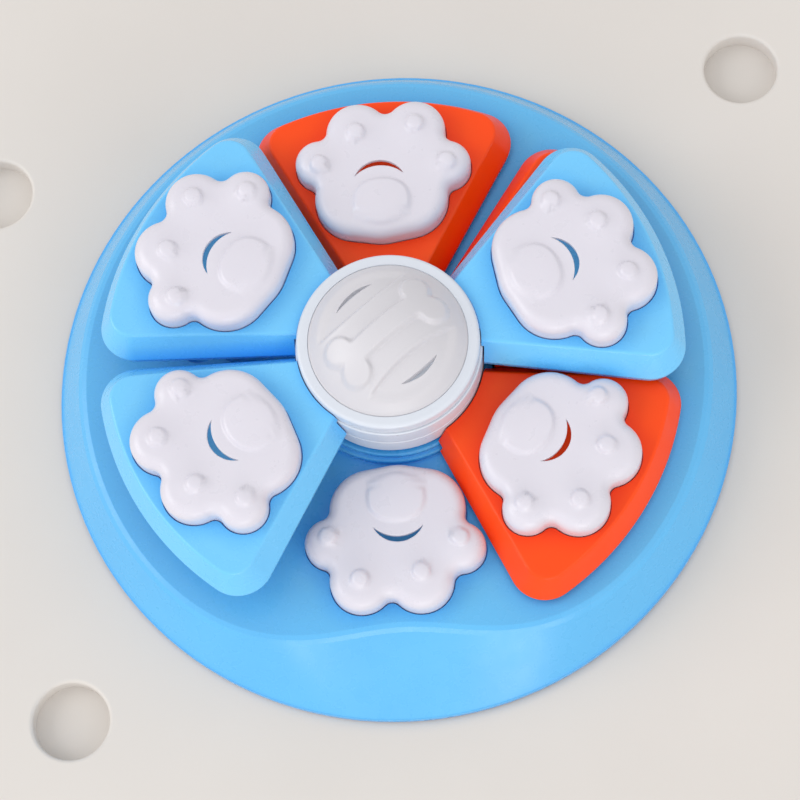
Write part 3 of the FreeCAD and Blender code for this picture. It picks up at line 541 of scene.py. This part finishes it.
def shell_mesh(name, outer, top, inner, under):
    """Closed shell in metres: outer skin, inner skin and the rim between them."""
    n = len(outer[0])
    verts = np.concatenate(outer + [top[None]] + inner + [under[None]])
    start = len(outer) * n + 1
    faces = skin_faces(0, len(outer), n, start - 1, False)
    faces += skin_faces(start, len(inner), n, len(verts) - 1, True)
    for i in range(n):
        j = (i + 1) % n
        faces.append((j, i, start + i, start + j))
    mesh = bpy.data.meshes.new(name)
    mesh.from_pydata([tuple(v * MM) for v in verts], [], faces)
    mesh.validate()
    for p in mesh.polygons:
        p.use_smooth = True
    return mesh


def arc_through(half, ends, front, steps):
    """Points of an arc from -half to +half, with its ends and its middle at two distances."""
    sag = front - ends
    r = (half ** 2 + sag ** 2) / (2.0 * sag)
    a = math.asin(min(half / r, 1.0))
    t = np.linspace(-a, a, steps)
    return np.stack([front - r + r * np.cos(t), r * np.sin(t)], 1)


def crescent_cutter(half, ends, front, width, heights):
    """Solid between two arcs that share their ends, bulging along +X."""
    outer = arc_through(half, ends, front, CUT_STEPS)
    inner = arc_through(half, ends, front - width, CUT_STEPS)
    ring = np.concatenate([outer, inner[::-1][1:-1]])
    bm = bmesh.new()
    below, above = [[bm.verts.new((x * MM, y * MM, z * MM)) for x, y in ring] for z in heights]
    bm.faces.new(below[::-1])
    bm.faces.new(above)
    for i in range(len(ring)):
        j = (i + 1) % len(ring)
        bm.faces.new((below[i], below[j], above[j], above[i]))
    mesh = bpy.data.meshes.new("crescent")
    bm.to_mesh(mesh)
    bm.free()
    return mesh


def carved(mesh, cutters):
    """Mesh with the cutters taken away."""
    obj = bpy.data.objects.new("carve", mesh)
    bpy.context.scene.collection.objects.link(obj)
    tools = []
    for c in cutters:
        tool = bpy.data.objects.new("cutter", c)
        bpy.context.scene.collection.objects.link(tool)
        mod = obj.modifiers.new("cut", "BOOLEAN")
        mod.object = tool
        mod.operation = "DIFFERENCE"
        mod.solver = "EXACT"
        tools.append(tool)
    dg = bpy.context.evaluated_depsgraph_get()
    out = bpy.data.meshes.new_from_object(obj.evaluated_get(dg))
    for o in [obj] + tools:
        bpy.data.objects.remove(o)
    return out


def place_lid(node, mesh, material):
    """Put a lid's skin in the place of its node, on the same body."""
    mesh.materials.clear()
    mesh.materials.append(material)
    obj = bpy.data.objects.new("skin_" + node, mesh)
    bpy.context.scene.collection.objects.link(obj)
    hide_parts(node)
    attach(obj, node)


def place_paw_lids():
    """One lid mesh, placed in each well that has a lid."""
    slot = crescent_cutter(SLOT_HALF, SLOT_BACK, SLOT_OUT + 0.5 * SLOT_WIDTH, SLOT_WIDTH, SLOT_CUT_Z)
    shell = shell_mesh("paw_lid", *lid_skin(0.0, 0.0), *lid_skin(-LID_WALL, LID_WALL))
    mesh = carved(shell, [slot])
    for node, turn, out, face in PAW_LIDS:
        a = math.radians(turn)
        own = mesh.copy()
        own.transform(Matrix.Translation((out * MM * math.cos(a), out * MM * math.sin(a), face * MM))
                      @ Matrix.Rotation(a, 4, "Z"))
        place_lid(node, own, LID_WHITE)


# Bone lid

def bone_edge(points):
    """Signed distance from the bone's outline, negative inside it."""
    x = np.abs(points[:, 0])
    y = np.hypot(points[:, 1], BONE_NOTCH_SOFT)
    bar = np.maximum(x - BONE_HALF, y - BONE_BAR_HALF)
    lobe = np.hypot(x - BONE_HALF, y - BONE_LOBE_SPREAD) - BONE_LOBE_R
    h = np.clip(0.5 + 0.5 * (lobe - bar) / BONE_NECK_SOFT, 0.0, 1.0)
    return lobe + (bar - lobe) * h - BONE_NECK_SOFT * h * (1.0 - h)


def dish_edge(points):
    """Distances past the dishes' outer edge and past the nearer ridge, negative inside the dish."""
    r = np.hypot(points[:, 0], points[:, 1])
    side = np.abs(points[:, 1])
    beyond = np.hypot(points[:, 0], side - RIDGE_AT - RIDGE_BOW_R) - RIDGE_BOW_R
    return r - DISH_R, beyond


def dome_height(points):
    """Height of the lid's skin over the floor."""
    r = np.hypot(points[:, 0], points[:, 1])
    ball = (BONE_R ** 2 + BONE_CROWN_H ** 2) / (2.0 * BONE_CROWN_H)
    z = BONE_SEAT_Z + BONE_EDGE_H + BONE_CROWN_H - ball + np.sqrt(ball ** 2 - np.minimum(r, BONE_R) ** 2)
    rim, ridge = dish_edge(points)
    z -= DISH_DEPTH * foot(rim, DISH_RIM) * foot(ridge, DISH_RIDGE)
    z += (RIDGE_LIP_H * np.exp(-((ridge - RIDGE_LIP_AT) / RIDGE_LIP_AT) ** 2)
          * foot(rim, (0.0, RIDGE_LIP_FADE)))
    z += BONE_RAISE * foot(bone_edge(points), BONE_FOOT)
    return z


def ring_points(radius):
    """Evenly spaced points round the axis."""
    t = 2.0 * np.pi * np.arange(DOME_STEPS) / DOME_STEPS
    return np.stack([radius * np.cos(t), radius * np.sin(t)], 1)


def dome_skin(drop, rim):
    """Rings from the rim's lower edge over the dome to its middle."""
    rings = [np.column_stack([ring_points(r), np.full(DOME_STEPS, z)]) for r, z in rim]
    edge = rim[-1][0]
    for i in range(1, DOME_RINGS):
        p = ring_points(edge * (1.0 - i / DOME_RINGS))
        rings.append(np.column_stack([p, dome_height(p) - drop]))
    top = dome_height(np.zeros((1, 2)))[0] - drop
    return rings, np.array([0.0, 0.0, top])


def bone_lid_mesh():
    """Closed shell of the centre lid."""
    low = BONE_SEAT_Z - BONE_PLUG_H
    edge_z = BONE_SEAT_Z + BONE_EDGE_H
    inward, below, rise = BONE_EDGE_BEND
    bend = [(BONE_R - inward * (1.0 - math.cos(t)), edge_z - below + rise * math.sin(t))
            for t in np.linspace(0.0, 0.5 * math.pi, BONE_EDGE_STEPS)]
    rim = [(BONE_PLUG_R, low), (BONE_PLUG_R, BONE_SEAT_Z), (BONE_R, BONE_SEAT_Z),
           (BONE_R, edge_z - BONE_EDGE_DROP)]
    inner_r = BONE_PLUG_R - BONE_PLUG_WALL
    under = dome_skin(BONE_WALL + DISH_DEPTH, [(inner_r, low), (inner_r, BONE_SEAT_Z)])
    return shell_mesh("bone_lid", *dome_skin(0.0, rim + bend), *under)


def place_bone_lid():
    """Domed lid over the centre cup, turned to the photo's direction."""
    cutters = []
    for turn in (0.5 * math.pi, -0.5 * math.pi):
        vent = crescent_cutter(VENT_HALF, VENT_R - VENT_SAG, VENT_R, VENT_WIDTH, VENT_CUT_Z)
        vent.transform(Matrix.Rotation(turn, 4, "Z"))
        cutters.append(vent)
    mesh = carved(bone_lid_mesh(), cutters)
    mesh.transform(Matrix.Rotation(math.radians(BONE_DIR), 4, "Z"))
    place_lid("bone_lid", mesh, DOME_WHITE)


# Table, lights and camera

def hole_ring(bm, centre, radius, z):
    """Ring of points of a round hole."""
    turns = [2.0 * math.pi * i / TABLE_HOLE_SIDES for i in range(TABLE_HOLE_SIDES)]
    return [bm.verts.new(((centre[0] + radius * math.cos(a)) * MM, (centre[1] + radius * math.sin(a)) * MM,
                          z * MM)) for a in turns]


def hole_profile():
    """Radii and heights of a hole below the table top: rounded edge, wall and floor."""
    bend = np.linspace(0.0, 0.5 * math.pi, TABLE_HOLE_BEND_STEPS)[1:]
    edge = [(TABLE_HOLE_R + TABLE_HOLE_EDGE * (1.0 - math.sin(t)), -TABLE_HOLE_EDGE * (1.0 - math.cos(t)))
            for t in bend]
    return edge + [(TABLE_HOLE_R, -TABLE_HOLE_DEPTH), (TABLE_HOLE_MIDDLE_R, -TABLE_HOLE_DEPTH)]


def loop_edges(bm, ring):
    """Edges round a closed ring of points."""
    return [bm.edges.new((a, b)) for a, b in zip(ring, ring[1:] + ring[:1])]


def stage_table():
    """Table top with three round holes."""
    bm = bmesh.new()
    half = TABLE_HALF * MM
    corners = [bm.verts.new((x * half, y * half, 0.0)) for x, y in ((-1, -1), (1, -1), (1, 1), (-1, 1))]
    mouths = [hole_ring(bm, centre, TABLE_HOLE_R + TABLE_HOLE_EDGE, 0.0) for centre in TABLE_HOLES]
    edges = loop_edges(bm, corners)
    for mouth in mouths:
        edges += loop_edges(bm, mouth)
    bmesh.ops.triangle_fill(bm, use_beauty=True, use_dissolve=False, edges=edges)
    for centre, last in zip(TABLE_HOLES, mouths):
        for radius, z in hole_profile():
            ring = hole_ring(bm, centre, radius, z)
            for i in range(TABLE_HOLE_SIDES):
                j = (i + 1) % TABLE_HOLE_SIDES
                bm.faces.new((last[i], last[j], ring[j], ring[i]))
            last = ring
    bmesh.ops.recalc_face_normals(bm, faces=bm.faces)
    mesh = bpy.data.meshes.new("table")
    bm.to_mesh(mesh)
    bm.free()
    mesh.materials.append(TABLE)
    obj = bpy.data.objects.new("table_top", mesh)
    bpy.context.scene.collection.objects.link(obj)


def area_light(name, at, size, power):
    """Soft box that looks at the origin."""
    light = bpy.data.lights.new(name, "AREA")
    light.shape = "RECTANGLE"
    light.size, light.size_y = size
    light.energy = power
    obj = bpy.data.objects.new(name, light)
    obj.location = at
    obj.rotation_mode = "QUATERNION"
    obj.rotation_quaternion = (-Vector(at)).to_track_quat("-Z", "Y")
    bpy.context.scene.collection.objects.link(obj)


def light_scene():
    """Large soft window light from the left, two weaker lamps in front, and a pale room."""
    for lamp in LAMPS:
        area_light(*lamp)
    world = bpy.data.worlds.new("room")
    world.use_nodes = True
    back = world.node_tree.nodes["Background"]
    back.inputs["Color"].default_value = (1.0, 1.0, 1.0, 1.0)
    back.inputs["Strength"].default_value = ROOM_LIGHT
    bpy.context.scene.world = world


def set_camera():
    """The photo's own view."""
    cam = bpy.data.cameras.new("camera")
    cam.sensor_width = SENSOR_MM
    cam.lens = LENS_MM
    cam.clip_start, cam.clip_end = CLIP
    obj = bpy.data.objects.new("camera", cam)
    axes = Matrix((CAMERA_RIGHT, CAMERA_UP, CAMERA_BACK)).transposed().to_4x4()
    obj.matrix_world = Matrix.Translation(Vector(CAMERA_AT) * MM) @ axes
    bpy.context.scene.collection.objects.link(obj)
    bpy.context.scene.camera = obj
    bpy.context.scene.view_settings.view_transform = "Standard"


paint_nodes()
place_paw_lids()
place_bone_lid()
stage_table()
light_scene()
set_camera()
